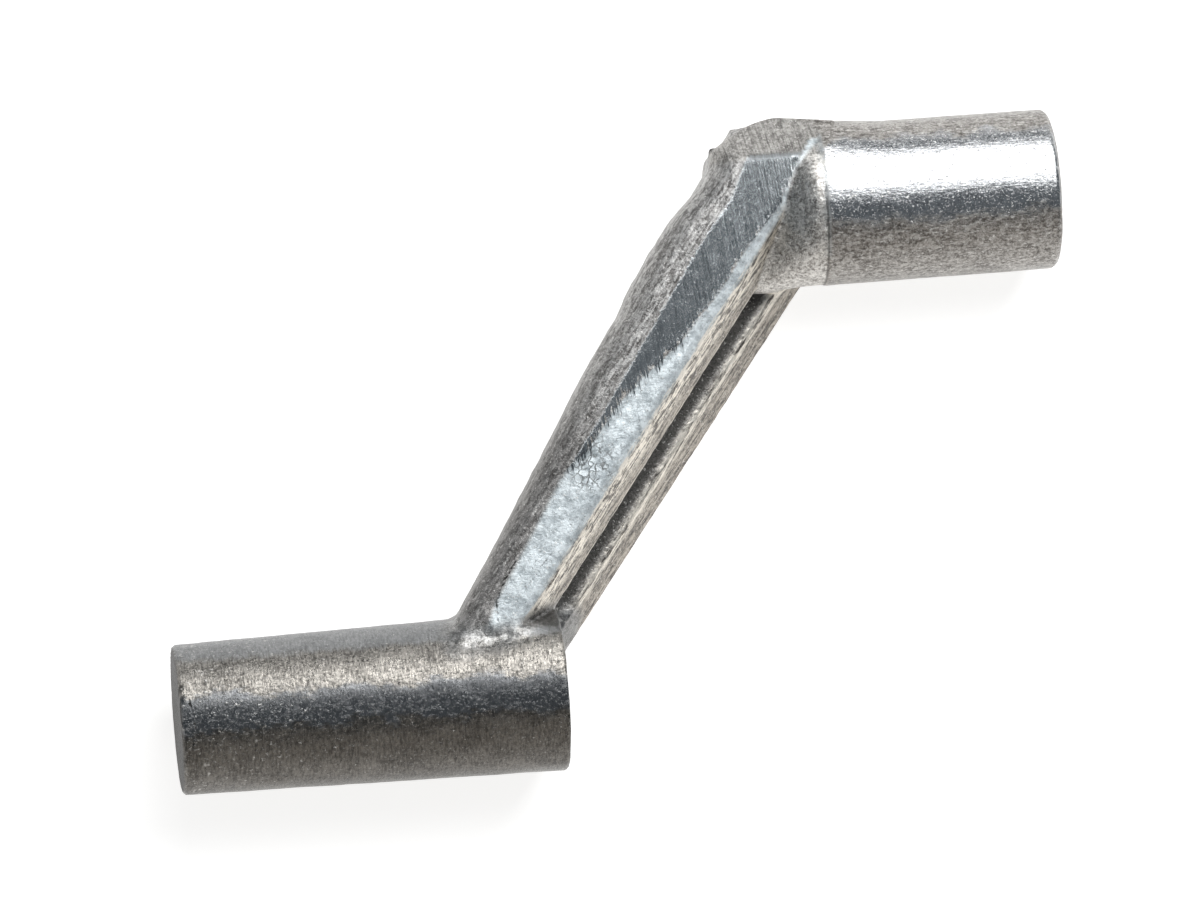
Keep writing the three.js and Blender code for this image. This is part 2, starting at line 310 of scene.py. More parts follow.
def casting(x, y, z):
    """The whole casting."""
    r = np.hypot(y, z)
    shoulder = 0.42 * ramp(x, 3.0, -4.0) * ramp(y, 3.0, 7.5)
    hub = barrel(x, r - shoulder, hub_root_x - 0.55, mouth_x, hub_radii, (0.25, 0.7))
    grip = barrel(x, np.hypot(y - grip_y, z), grip_free_x, grip_root_x, grip_radii, (0.5, 0.4))
    _, o = down_and_out(x, y)
    body = arm(x, y, z)
    body = smin(body, neck(x, y, z), 0.55 + 1.5 * ramp(z, 1.0, -4.0))
    body = smin(body, hub, 0.22)
    # the ledge over the neck, and the burr at the elbow
    ledge = capsule(x, y, z, (-6.5, 4.1, 6.12), (-4.2, 4.05, 6.3), 0.3)
    burr = capsule(x, y, z, (-14.35, 5.7, 1.0), (-14.5, 5.75, 2.2), 0.38)
    body = smin(smin(body, ledge, 0.25), burr, 0.3)
    # the foot: a fuller root on the grip, with a lumpy ridge and a drip in its corners
    body = smin(body, grip, 0.6 + 0.5 * ramp(-o, 5, 9))
    ridge = capsule(x, y, z, (-38.2, -40.2, 5.3), (-34.9, -40.6, 4.6), 0.62)
    drip = capsule(x, y, z, (-41.0, -38.6, 5.2), (-40.3, -40.0, 5.6), 0.5)
    body = smin(smin(body, ridge, 0.8), drip, 0.7)
    body = smax(body, -socket(x, r, np.arctan2(y, z)), 0.12)
    return smax(body, -screw_hole(x, y, z), 0.15)


# ---------- A mesh from the distance, with its corners kept ----------


def slopes(points, step=0.02):
    """Unit outward directions at points."""
    x, y, z = points.T
    g = np.stack(
        [
            casting(x + step, y, z) - casting(x - step, y, z),
            casting(x, y + step, z) - casting(x, y - step, z),
            casting(x, y, z + step) - casting(x, y, z - step),
        ],
        axis=1,
    )
    return g / np.maximum(np.linalg.norm(g, axis=1, keepdims=True), 1e-9)


def crossed_edges(inside, low, cell, axis):
    """Where the surface crosses the grid along an axis, the four cells round, and which way."""
    b, c = (axis + 1) % 3, (axis + 2) % 3
    first = [slice(None)] * 3
    second = [slice(None)] * 3
    first[axis], second[axis] = slice(0, -1), slice(1, None)
    starts_inside = inside[tuple(first)]
    index = np.argwhere(starts_inside != inside[tuple(second)])
    # the two ends of each crossed edge close in on the surface
    start = low + cell * index
    end = start.copy()
    end[:, axis] += cell
    fa = casting(*start.T)
    fb = casting(*end.T)
    for _ in range(3):
        t = np.clip(fa / (fa - fb + 1e-12), 0.02, 0.98)[:, None]
        mid = start + (end - start) * t
        fm = casting(*mid.T)
        left = (fm < 0) == (fa < 0)
        start = np.where(left[:, None], mid, start)
        fa = np.where(left, fm, fa)
        end = np.where(left[:, None], end, mid)
        fb = np.where(left, fb, fm)
    t = np.clip(fa / (fa - fb + 1e-12), 0, 1)[:, None]
    rows = np.array(inside.shape) - 1
    ring = []
    for db, dc in ((-1, -1), (0, -1), (0, 0), (-1, 0)):
        at = index.copy()
        at[:, b] += db
        at[:, c] += dc
        ring.append((at[:, 0] * rows[1] + at[:, 1]) * rows[2] + at[:, 2])
    return start + (end - start) * t, np.stack(ring, axis=1), ~starts_inside[tuple(index.T)]


def meeting_points(crossings, where, total, cell, steadiness=0.08):
    """For each cell, the place where the tangent planes of its crossings meet."""
    flat = where.ravel()
    p = np.repeat(crossings, 4, axis=0)
    n = np.repeat(slopes(crossings), 4, axis=0)
    number = np.bincount(flat, minlength=total).astype(float)
    middle = np.stack([np.bincount(flat, p[:, i], total) for i in range(3)], axis=1)
    middle = middle / number[:, None]
    matrix = np.zeros((total, 3, 3))
    for i in range(3):
        for j in range(3):
            matrix[:, i, j] = np.bincount(flat, n[:, i] * n[:, j], total)
    away = np.einsum("ij,ij->i", n, p - middle[flat])
    pull = np.stack([np.bincount(flat, n[:, i] * away, total) for i in range(3)], axis=1)
    matrix += steadiness * np.eye(3)
    shift = np.linalg.solve(matrix, pull[:, :, None])[:, :, 0]
    # no vertex goes far outside its own cell
    reach = np.linalg.norm(shift, axis=1, keepdims=True)
    return middle + shift * np.minimum(1, 0.8 * cell / np.maximum(reach, 1e-9))


def dual_mesh(cell, slab=32):
    """Vertices and quads of the casting, one vertex in each cell that the surface crosses."""
    low = box_low - 1.5 * cell
    count = np.ceil((box_high - low) / cell).astype(int) + 3
    gx, gy, gz = (low[i] + cell * np.arange(count[i]) for i in range(3))
    inside = np.empty(count, bool)
    for i in range(0, count[0], slab):
        row = gx[i : i + slab, None, None]
        inside[i : i + slab] = casting(row, gy[None, :, None], gz[None, None, :]) < 0
    edges = [crossed_edges(inside, low, cell, axis) for axis in range(3)]
    crossings, cells, flips = (np.concatenate(part) for part in zip(*edges, strict=True))
    used, where = np.unique(cells, return_inverse=True)
    where = where.reshape(cells.shape)
    quads = np.where(flips[:, None], where[:, ::-1], where)
    return meeting_points(crossings, where, len(used), cell), quads


def mesh_object(name, points, faces):
    """A smooth-shaded object from points in millimetres."""
    mesh = bpy.data.meshes.new(name)
    mesh.from_pydata((np.asarray(points) * MM).tolist(), [], [list(map(int, f)) for f in faces])
    mesh.update()
    mesh.polygons.foreach_set("use_smooth", [True] * len(mesh.polygons))
    made = bpy.data.objects.new(name, mesh)
    bpy.context.scene.collection.objects.link(made)
    return made


def paint(obj, name, values):
    """Stores one number for each vertex, for the material to read."""
    made = obj.data.attributes.new(name, "FLOAT", "POINT")
    made.data.foreach_set("value", np.asarray(values, np.float32))


# ---------- Where each skin of the casting lies ----------

vertices, quads = dual_mesh(cell_size)
out = slopes(vertices)
x, y, z = vertices.T
s, o = down_and_out(x, y)
from_hub_axis = np.hypot(y, z)
from_grip_axis = np.hypot(y - grip_y, z)
mouth = mouth_distance(s, o, z)
in_recess = recess_distance(s, o, y, z)
past_crease = -o - np.interp(s, crease_s, crease_o)

on_arm = ramp(s, -7, -5) * ramp(x, rim_x + 0.4, rim_x - 0.2) * ramp(from_grip_axis, 8.0, 8.7)
near_face = ramp(z, near_z - 1.2, near_z - 0.8) * ramp(out[:, 2], 0.45, 0.65)
# how far inside the ground flat's ragged edge, and inside its clean edges
ragged = -np.interp(s, ground_s, ground_o) - o
clean = np.minimum(np.minimum(0.1 - past_crease, facet_y + 0.1 - y), rim_x - x)
clean = np.where(z > 3.5, clean, -3.0)
flat_ground = ramp(np.minimum(ragged, clean), -0.15, 0.25)
top_facet = on_arm * ramp(y, 3.8, 4.4) * ramp(z, 1.5, 3.5)
recess = on_arm * ramp(in_recess, 0.12, 0.02) * ramp(mouth, -0.35, -1.0)
neck_zone = ramp(x, rim_x + 0.1, rim_x - 0.3) * ramp(neck(x, y, z), 0.5, 0.1)
neck_zone = neck_zone * (1 - recess) * ramp(mouth, -1.2, -0.6)
past_corner = np.where(z > 2.5, ramp(o, -2.75, -2.45), ramp(mouth, -0.45, -0.12))
wall = on_arm * past_corner * (y < 5) * (1 - neck_zone)
band = on_arm * ramp(past_crease, -0.25, 0.3) * (1 - recess)
bright = on_arm * near_face * ramp(ragged, 0.1, -0.1) * (1 - wall) * (1 - band) * (1 - neck_zone)
grip_zone = ramp(from_grip_axis, 8.5, 7.95) * ramp(y, grip_y + 9, grip_y + 7.5)
# painted highlight along the walls' edges at the recess, wider on the far wall
edge_width = np.where(z > 0, 0.4, 1.1), np.where(z > 0, 0.1, 0.5)
inner_edge = on_arm * ramp(np.abs(in_recess), *edge_width)
inner_edge = inner_edge * ramp(mouth, -0.6, -0.2) * (y < 3) * (1 - neck_zone)
on_bar_end = (x < grip_root_x - 1.0) | (x > mouth_x - 0.5) | (from_grip_axis < 7.6)
end_face = ramp(np.abs(out[:, 0]), 0.8, 0.95) * on_bar_end
in_socket = ramp(from_hub_axis, 4.75, 4.55) * ramp(x, -1.5, -0.5)
in_socket = in_socket * ramp(x, mouth_x - 0.02, mouth_x - 0.12)
foot = ramp(arm(x, y, z), 1.5, 0.3) * ramp(np.abs(from_grip_axis - 7.8), 1.7, 0.5) * (y > grip_y)
# how closed in each vertex is, felt at three distances
cavity = 0.0
probes = (0.6, 1.4, 3.0)
for reach in probes:
    probe = vertices + out * reach
    cavity = cavity + np.clip(1 - casting(*probe.T) / reach, 0, 1) / len(probes)


def gap_to_line(corners):
    """Distance from each vertex to a line through corners."""
    gaps = [capsule(x, y, z, a, b, 0.0) for a, b in zip(corners, corners[1:], strict=False)]
    return np.minimum.reduce(gaps)


def on_near_face(down, out_, height=5.9):
    """A place on the arm's near face, from how far down and how far out it is."""
    at = np.array(arm_start) + down * np.array(arm_down) + out_ * np.array(arm_out)
    return (at[0], at[1], height)


# cold shuts: thin dark folds at the foot where the metal met, and the burr's dark end
folds = [
    [
        on_near_face(46.8, -6.5),
        on_near_face(49.6, -6.35),
        on_near_face(51.2, -5.9),
        on_near_face(53.6, -3.9, 6.1),
    ],
    [(-67.9, -39.6, 4.7), (-69.2, -41.3, 6.3), (-69.6, -43.5, 7.2)],
    [(-70.6, -44.5, 7.3), (-70.2, -47.6, 7.3), (-70.9, -50.2, 6.2)],
]
fold_gap = np.minimum.reduce([gap_to_line(line) for line in folds])
burr_end = capsule(x, y, z, (-14.6, 5.85, 1.3), (-14.7, 5.85, 1.9), 0.56)
fold_gap = np.minimum(fold_gap, np.maximum(burr_end, 0))
# hairline scratches on the near face
scratches = [
    [on_near_face(41.2, -4.6), on_near_face(44.4, -5.0), on_near_face(47.5, -4.5)],
    [on_near_face(43.0, -3.9), on_near_face(48.2, -4.2)],
    [on_near_face(37.4, -5.1), on_near_face(38.7, -4.0)],
]
scratch_gap = np.minimum.reduce([gap_to_line(line) for line in scratches])

# ---------- The casting's relief ----------

# uneven cast skin: how deep, where it lies, the size of its lumps, the noise's seed
as_cast = 1 - flat_ground
relief = np.zeros(len(vertices))
for depth, share, size, seed in (
    (0.022, as_cast, 2.4, 1),
    (0.035, band * as_cast, 1.2, 11),
    (0.05, band * as_cast * ramp(y, -26, -10), (2.6, 1.7, 1.7), 15),
    (0.055, recess, 1.3, 21),
    (0.03, wall, 1.1, 31),
    (0.03, bright, 1.6, 41),
    (0.035, neck_zone, 1.7, 51),
    (0.02, grip_zone, (2.2, 1.4, 1.4), 61),
    (0.09, foot, 1.1, 81),
    (0.03, end_face, 2.6, 91),
):
    relief += depth * share * fractal(vertices, size, seed)
# lumps that gather in the closed-in corners
relief += 0.06 * ramp(fractal(vertices, 1.8, 71), 0.35, 0.9) * ramp(cavity, 0.25, 0.5)

# pits in the cast skin, and lumps of negative depth: centre, radius, depth
pits = [
    ((-29.6, -23.9, 6.2), 0.75, 0.16),
    ((-30.3, -25.0, 6.2), 0.55, 0.14),
    ((-29.0, -24.9, 6.2), 0.5, 0.15),
    ((-30.9, -26.2, 6.2), 0.6, 0.12),
    ((-28.2, -23.6, 6.2), 0.5, 0.12),
    ((-29.6, -26.0, 6.2), 0.45, 0.12),
    ((-30.2, -27.0, 6.2), 0.5, -0.06),
    ((-7.3, 0.5, 6.2), 0.42, 0.2),
    ((-7.3, 0.5, 6.2), 1.0, -0.08),
    ((-6.6, 0.1, 7.0), 0.3, 0.12),
    ((-41.0, -38.2, 5.9), 0.6, -0.12),
    ((-12.4, 3.6, 6.3), 0.4, 0.06),
    ((-26.4, -20.2, 6.2), 0.5, 0.1),
    ((-25.6, -19.1, 6.2), 0.4, 0.1),
]
scattered_pits = 150
rng = np.random.default_rng(7)
for _ in range(scattered_pits):
    centre = vertices[rng.integers(len(vertices))]
    pits.append((centre, rng.uniform(0.25, 0.55), rng.uniform(0.02, 0.07)))
for centre, radius, depth in pits:
    gap = np.linalg.norm(vertices - np.array(centre), axis=1) / radius
    relief -= depth * ramp(gap, 1.0, 0.2) * (1 - 0.8 * flat_ground)

inset = 0.003
crank_points = vertices + out * relief[:, None]
crank_points = np.clip(crank_points, box_low + inset, box_high - inset)
crank = mesh_object("crank_casting_skin", crank_points, quads)
crank.data.set_sharp_from_angle(angle=math.radians(32))
for name, values in (
    ("ragged", ragged),
    ("clean", clean),
    ("topfacet", top_facet),
    ("band", band),
    ("wall", wall),
    ("recess", recess),
    ("bright", bright),
    ("grip", grip_zone),
    ("neck", neck_zone),
    ("cavity", cavity),
    ("arm", on_arm * (1 - neck_zone)),
    ("out", o),
    ("pitted", ramp(np.hypot(x + 29.6, y + 24.6), 3.3, 1.6) * near_face),
    ("inner_edge", inner_edge),
    ("end_face", end_face),
    ("in_socket", in_socket),
    ("foot", foot),
    ("fold_gap", fold_gap),
    ("scratch_gap", scratch_gap),
):
    paint(crank, name, values)

# ---------- The set screw: threads, hexagon socket and cup point ----------

thread_pitch = 0.794
thread_crest = 2.4
thread_root = 1.96
key_apothem = 1.19


def set_screw_rings(turn):
    """Height and radius of each ring, from the key's floor over the top and down to the cup."""
    around = np.ones(len(turn))
    hexagon = key_apothem / np.cos((turn % (math.pi / 3)) - math.pi / 6)
    rings = [
        (screw_top - 1.6, hexagon * 0.96),
        (screw_top - 1.5, hexagon),
        (screw_top - 0.16, hexagon),
        (screw_top - 0.05, hexagon * 0.4 + 0.6 * 1.45 * around),
        (screw_top, 1.55 * around),
        (screw_top, 2.0 * around),
    ]
    ring_gap, end_gap = 0.05, 0.02
    steps = int((screw_top - screw_tip) / ring_gap)
    for i in range(steps + 1):
        height = screw_top - end_gap - (screw_top - screw_tip - 2 * end_gap) * i / steps
        phase = (height / thread_pitch - turn / (2 * math.pi)) % 1.0
        tooth = np.clip(np.abs(phase - 0.5) * 2 * 1.35 - 0.1, 0, 1)
        radius = thread_crest - (thread_crest - thread_root) * tooth
        # both ends are chamfered at 45 degrees
        chamfered = min(2.05 + (screw_top - height), 1.84 + (height - screw_tip), thread_crest)
        rings.append((height, np.minimum(radius, chamfered)))
    cup = [(screw_tip, 1.8), (screw_tip, 1.3), (screw_tip + 0.1, 1.15)]
    return rings + [(height, radius * around) for height, radius in cup]


def set_screw_mesh():
    """Rings of points round the screw's axis, joined to each other and closed at both ends."""
    sides = 96
    turn = np.arange(sides) * 2 * math.pi / sides
    rings = set_screw_rings(turn)
    ahead = np.array([1.0, 0.0, 0.0])
    side = np.cross(screw_axis, ahead)
    centre = screw_x * ahead
    points, faces = [], []
    for height, radius in rings:
        for angle, r in zip(turn, radius, strict=True):
            across = math.cos(angle) * ahead + math.sin(angle) * side
            points.append(centre + screw_axis * height + across * r)
    for i in range(len(rings) - 1):
        near, far = i * sides, (i + 1) * sides
        for j in range(sides):
            k = (j + 1) % sides
            faces.append((near + j, near + k, far + k, far + j))
    key_floor = len(points)
    cup_middle = key_floor + 1
    points.append(centre + screw_axis * (screw_top - 1.95))
    points.append(centre + screw_axis * (screw_tip + 0.55))
    last = (len(rings) - 1) * sides
    for j in range(sides):
        k = (j + 1) % sides
        faces.append((key_floor, k, j))
        faces.append((cup_middle, last + j, last + k))
    return np.array(points), faces


screw = mesh_object("set_screw_threaded", *set_screw_mesh())
screw.data.set_sharp_from_angle(angle=math.radians(38))

# ---------- Short calls for shader nodes ----------


class Shader:
    """A Principled material with short calls for its nodes. Places are in millimetres."""

    def __init__(self, name):
        self.material = bpy.data.materials.new(name)
        self.material.use_nodes = True
        self.nodes = self.material.node_tree.nodes
        self.links = self.material.node_tree.links
        self.surface = self.nodes["Principled BSDF"]
        metres = self.node("ShaderNodeTexCoord").outputs["Object"]
        self.place = self.vector("SCALE", metres, scale=1 / MM)

    def node(self, kind, inputs=None, **settings):
        made = self.nodes.new(kind)
        for key, value in settings.items():
            setattr(made, key, value)
        for key, value in (inputs or {}).items():
            self.put(made.inputs[key], value)
        return made

    def put(self, target, value):
        if isinstance(value, bpy.types.NodeSocket):
            self.links.new(value, target)
        else:
            target.default_value = value

    def math(self, operation, a, b=0.0):
        return self.node("ShaderNodeMath", {0: a, 1: b}, operation=operation).outputs[0]

    def vector(self, operation, a, b=None, scale=None):
        made = self.node("ShaderNodeVectorMath", {0: a}, operation=operation)
        if b is not None:
            self.put(made.inputs[1], b)
        if scale is not None:
            self.put(made.inputs["Scale"], scale)
        return made.outputs[0]

    def stretched(self, factors, turn=0.0):
        """Places turned about Z and then multiplied along each axis."""
        inputs = {"Vector": self.place, "Rotation": (0, 0, turn)}
        turned = self.node("ShaderNodeMapping", inputs, vector_type="TEXTURE")
        return self.vector("MULTIPLY", turned.outputs[0], factors)

    def noise(self, scale, detail, rough, where=None, seed=0):
        """Noise in 0..1. Each seed looks at another part of the same pattern."""
        moved = self.vector("ADD", where or self.place, (seed * 17.3, seed * 9.1, seed * 5.7))
        inputs = {"Vector": moved, "Scale": scale, "Detail": detail, "Roughness": rough}
        return self.node("ShaderNodeTexNoise", inputs).outputs["Fac"]

    def centred(self, *args, **settings):
        """The same noise, centred on zero."""
        return self.math("SUBTRACT", self.noise(*args, **settings), 0.5)

    def cracks(self, scale, where):
        """Distance to the nearest border between cells."""
        inputs = {"Vector": where, "Scale": scale}
        made = self.node("ShaderNodeTexVoronoi", inputs, feature="DISTANCE_TO_EDGE")
        return made.outputs["Distance"]

    def attribute(self, name):
        return self.node("ShaderNodeAttribute", attribute_name=name).outputs["Fac"]

    def step(self, value, low, high, to_low=0.0, to_high=1.0):
        """A smooth step from to_low to to_high. low may be above high."""
        inputs = {"Value": value, "From Min": low, "From Max": high}
        inputs.update({"To Min": to_low, "To Max": to_high})
        made = self.node("ShaderNodeMapRange", inputs, interpolation_type="SMOOTHSTEP")
        return made.outputs[0]

    def blend(self, share, a, b):
        """a where share is 0, b where it is 1, for numbers."""
        return self.node("ShaderNodeMix", {0: share, 2: a, 3: b}, data_type="FLOAT").outputs[0]

    def colour(self, share, a, b):
        """The same for colours."""
        return self.node("ShaderNodeMix", {0: share, 6: a, 7: b}, data_type="RGBA").outputs[2]

    def add(self, *terms):
        total = terms[0]
        for term in terms[1:]:
            total = self.math("ADD", total, term)
        return total

    def times(self, *terms):
        total = terms[0]
        for term in terms[1:]:
            total = self.math("MULTIPLY", total, term)
        return total

    def weigh(self, *pairs):
        """The sum of fields, each times its weight."""
        return self.add(*(self.times(field, weight) for field, weight in pairs))

    def either(self, a, b):
        return self.math("MAXIMUM", a, b)

    def gap(self, value, middle):
        """How far a value is from middle."""
        return self.math("ABSOLUTE", self.math("ADD", value, -middle))

    def bump(self, height_mm):
        made = self.node("ShaderNodeBump", {"Height": height_mm, "Distance": MM, "Strength": 1.0})
        self.links.new(made.outputs[0], self.surface.inputs["Normal"])


# ---------- The casting's material ----------

# the darker and the lighter colour of each skin
SKINS = {
    "hub_worn": ((0.28, 0.285, 0.29), (0.48, 0.485, 0.49)),
    "hub": ((0.11, 0.10, 0.09), (0.43, 0.41, 0.385)),
    "grip_worn": ((0.13, 0.133, 0.137), (0.22, 0.222, 0.225)),
    "grip": ((0.10, 0.093, 0.084), (0.34, 0.32, 0.29)),
    # painted shade: a darker copy of the grip's skin for its lower side
    "grip_under": ((0.06, 0.055, 0.049), (0.175, 0.162, 0.145)),
    # painted reflection tone for the grip's upper side
    "grip_upper": ((0.155, 0.158, 0.16), (0.29, 0.293, 0.292)),
    "band_low": ((0.115, 0.11, 0.105), (0.32, 0.31, 0.30)),
    # painted light: a lighter copy of the band for its upper part
    "band_high": ((0.145, 0.138, 0.131), (0.55, 0.54, 0.525)),
    "wall": ((0.085, 0.076, 0.067), (0.50, 0.455, 0.395)),
    "neck": ((0.22, 0.204, 0.186), (0.80, 0.775, 0.735)),
    # painted shade: the recess's skin is kept dark
    "recess": ((0.075, 0.073, 0.069), (0.175, 0.17, 0.16)),
    "facet": ((0.155, 0.147, 0.138), (0.47, 0.455, 0.43)),
    "bright": ((0.42, 0.465, 0.485), (0.84, 0.90, 0.92)),
    "ground": ((0.255, 0.27, 0.277), (0.42, 0.44, 0.448)),
    "foot": ((0.12, 0.118, 0.113), (0.38, 0.375, 0.365)),
    "end_face": ((0.13, 0.125, 0.117), (0.32, 0.31, 0.29)),
    # painted shade: near black for the grip's free end face
    "free_end": ((0.018, 0.017, 0.016), (0.055, 0.052, 0.048)),
    "socket": ((0.13, 0.125, 0.117), (0.30, 0.29, 0.275)),
}

# the colour of each kind of mark on them
MARKS = {
    "hub_dark": (0.075, 0.068, 0.06),
    "hub_light": (0.74, 0.72, 0.69),
    "chip": (0.62, 0.60, 0.57),
    "band_dark": (0.07, 0.066, 0.062),
    "band_light": (0.66, 0.645, 0.62),
    "neck_dark": (0.13, 0.115, 0.10),
    "neck_light": (0.90, 0.88, 0.85),
    "facet_dark": (0.08, 0.075, 0.07),
    # painted highlight on the near wall's edge
    "streak": (0.88, 0.825, 0.735),
    # painted highlight on the walls' inner edges
    "inner_edge": (0.88, 0.83, 0.74),
    # painted shade for closed-in corners and the recess
    "dirt": (0.06, 0.055, 0.05),
    "speck_dark": (0.05, 0.047, 0.043),
    "speck_light": (0.80, 0.78, 0.75),
    "fold": (0.02, 0.018, 0.016),
    "scratch": (0.16, 0.17, 0.175),
    "crack": (0.12, 0.12, 0.115),
    # painted shade along the facet's crease
    "top_edge": (0.17, 0.175, 0.175),
    # painted shade for the rim line
    "rim": (0.05, 0.045, 0.04),
}

stroke_angle = math.radians(6)


def rgb(colour):
    return (*colour, 1.0)


def zinc_fields(m):
    """The vertex attributes, noise centred on zero, and small marks in 0..1."""
    f = SimpleNamespace()
    f.x, f.y, f.z = m.node("ShaderNodeSeparateXYZ", {0: m.place}).outputs
    masks = "grip neck band wall recess cavity topfacet bright inner_edge end_face in_socket foot"
    for name in masks.split():
        setattr(f, name, m.attribute(name))

    f.broad = m.centred(0.35, 3, 0.55)
    f.lumps = m.centred(1.0, 4, 0.6, seed=1)
    f.grain = m.centred(3.0, 4, 0.7, seed=2)
    f.fine = m.centred(7.0, 3, 0.75, seed=3)
    f.strokes = m.centred(1.0, 4, 0.75, m.stretched((5.5, 0.2, 0.2), stroke_angle))
    f.spikes = m.centred(1.0, 4, 0.8, m.stretched((3.4, 0.22, 0.22), stroke_angle))
    f.hoops = m.centred(1.0, 4, 0.75, m.stretched((5.5, 1.2, 1.2)))
    f.along_bar = m.centred(1.0, 4, 0.7, m.stretched((0.8, 3.2, 3.2)), seed=7)
    f.along_arm = m.centred(1.0, 5, 0.72, m.stretched((0.45, 2.6, 2.6), arm_angle), seed=8)

    marks_at = m.stretched((0.8, 2.4, 2.4), arm_angle)
    f.marks_dark = m.step(m.noise(1.0, 3, 0.65, marks_at, seed=9), 0.57, 0.65)
    f.marks_light = m.step(m.noise(1.0, 3, 0.65, marks_at, seed=10), 0.58, 0.66)
    f.speck_dark = m.step(m.noise(4.2, 3, 0.6, seed=4), 0.60, 0.70)
    f.speck_light = m.step(m.noise(3.8, 3, 0.6, seed=5), 0.60, 0.70)
    flecks_at = m.stretched((1.5, 3.2, 3.2))
    f.flecks_light = m.step(m.noise(1.0, 4, 0.75, flecks_at, seed=12), 0.55, 0.64)
    f.flecks_dark = m.step(m.noise(1.0, 4, 0.75, flecks_at, seed=13), 0.56, 0.65)
    # chips on the grip, denser towards its free end
    chip_level = m.step(f.x, grip_free_x, grip_free_x + 22.0, 0.57, 0.68)
    f.chips = m.step(m.noise(2.3, 3, 0.6, seed=11), chip_level, 0.74)
    return f


def add_ground_flat(m, f):
    """The ground flat: ragged where the wheel ran out, clean along the crease and the facet."""
    reach = m.step(f.y, -11.0, -17.0, 1.8, 7.0)
    ragged_edge = m.weigh((f.spikes, reach), (f.lumps, 1.0), (f.grain, 1.2))
    ragged_edge = m.step(m.add(m.attribute("ragged"), ragged_edge), -0.05, 0.3)
    clean_edge = m.add(m.attribute("clean"), m.weigh((f.grain, 0.7), (f.strokes, 0.5)))
    f.ground = m.times(ragged_edge, m.step(clean_edge, -0.1, 0.2))
    f.rough_skin = m.math("SUBTRACT", 1.0, f.ground)
    # its top edge is dulled and painted darker: painted shade along the crease
    gap = m.math("ABSOLUTE", m.add(f.y, m.times(f.grain, 0.5), -facet_y))
    below_rim = m.step(f.x, rim_x - 1.2, rim_x - 2.2)
    past_elbow = m.step(f.x, -11.9, -11.2)
    f.top_edge = m.times(m.step(gap, 0.45, 0.1), m.step(f.z, 5.7, 6.0), below_rim, past_elbow)


def add_bar_masks(m, f):
    """The front of each bar is worn smooth, and the rest keeps its cast skin. The grip's upper
    side gets a painted reflection tone and its lower side painted shade; its free end and the rim
    line get painted shade.
    """

    def away_from(middle, half, soft):
        wander = m.weigh((f.broad, 4.0), (f.along_bar, 2.0))
        return m.step(m.add(m.gap(f.y, middle), wander), half, half + soft)

    f.hub_skin = m.either(away_from(1.3, 3.4, 1.3), m.either(f.end_face, f.in_socket))
    f.grip_skin = m.either(away_from(grip_y - 0.4, 1.3, 0.9), f.end_face)
    # painted reflection: the grip's upper side gets its own bluish-grey tone, and is rougher
    upper_edge = m.add(f.y, m.weigh((f.lumps, 1.0), (f.hoops, 1.2)))
    f.grip_upper = m.step(upper_edge, grip_y + 4.7, grip_y + 5.6)
    # painted shade: the grip's lower side is darker
    f.grip_under = m.step(m.add(f.y, m.times(f.lumps, 1.5)), grip_y - 0.5, grip_y - 1.8)
    # painted shade: the grip's free end face is near black
    f.free_end = m.times(f.end_face, m.step(f.x, grip_free_x + 1.0, grip_free_x + 0.5))
    # painted shade: a dark line where the hub's round bar starts, above the neck, on its lower
    # part only
    f.rim = m.times(m.step(m.gap(f.x, rim_x), 0.17, 0.04), m.step(f.y, 1.0, -1.5))


def add_marks(m, f):
    """Painted cream highlight streaks on the near wall, painted shade in closed-in corners, folds,
    scratches and fine cracks.
    """
    # painted highlight: cream streaks along the near wall's rounded edge, broken up by noise
    edge_at = m.add(m.attribute("out"), m.times(f.along_arm, 1.6))
    on_wall = m.times(m.step(edge_at, -2.85, -2.55), m.step(edge_at, -1.2, -1.7))
    on_wall = m.times(on_wall, m.step(f.z, 2.0, 3.0), m.attribute("arm"))
    broken = m.weigh((f.along_arm, 1.0), (f.lumps, 0.3), (f.grain, 0.15))
    f.streak = m.times(on_wall, m.step(broken, -0.06, 0.06))
    # painted shade: darker where the surface is closed in, most of all in the recess
    closed_in = m.step(m.add(f.cavity, m.times(f.lumps, 0.35)), 0.46, 0.9)
    f.dirt = m.times(closed_in, m.blend(f.recess, 0.8, 0.25))
    f.fold = m.step(m.add(m.attribute("fold_gap"), m.times(f.grain, 0.4)), 0.16, 0.04)
    f.scratch = m.step(m.add(m.attribute("scratch_gap"), m.times(f.grain, 0.3)), 0.11, 0.03)
    wander = m.node("ShaderNodeCombineXYZ", {0: f.lumps, 1: f.grain}).outputs[0]
    cracked = m.step(m.cracks(1.5, m.vector("ADD", m.place, wander)), 0.10, 0.02)
    f.cracks = m.times(cracked, m.attribute("pitted"), m.step(f.lumps, -0.12, 0.02))


def bar_colour(m, two, mark, f):
    """The hub's and the grip's skins."""
    mix = m.weigh((f.grain, 0.75), (f.along_bar, 0.55), (f.fine, 0.5), (f.lumps, 0.35))
    hub = two(mix, 0.17, "hub")
    hub = mark(hub, m.times(f.flecks_dark, 0.5), "hub_dark")
    hub = mark(hub, m.times(f.flecks_light, 0.55), "hub_light")
    hub = m.colour(f.hub_skin, two(m.add(mix, 0.05), 0.22, "hub_worn"), hub)

    mix = m.weigh((f.hoops, 0.8), (f.grain, 0.35), (f.broad, 0.25))
    grip = two(m.add(mix, m.times(f.fine, 0.4)), 0.15, "grip")
    grip = m.colour(f.grip_under, grip, two(mix, 0.17, "grip_under"))
    grip = m.colour(f.grip_skin, two(mix, 0.25, "grip_worn"), grip)
    upper = two(m.add(mix, m.times(f.lumps, 0.3)), 0.2, "grip_upper")
    grip = mark(m.colour(f.grip_upper, grip, upper), m.times(f.chips, 0.7), "chip")
    return m.colour(f.grip, hub, grip)


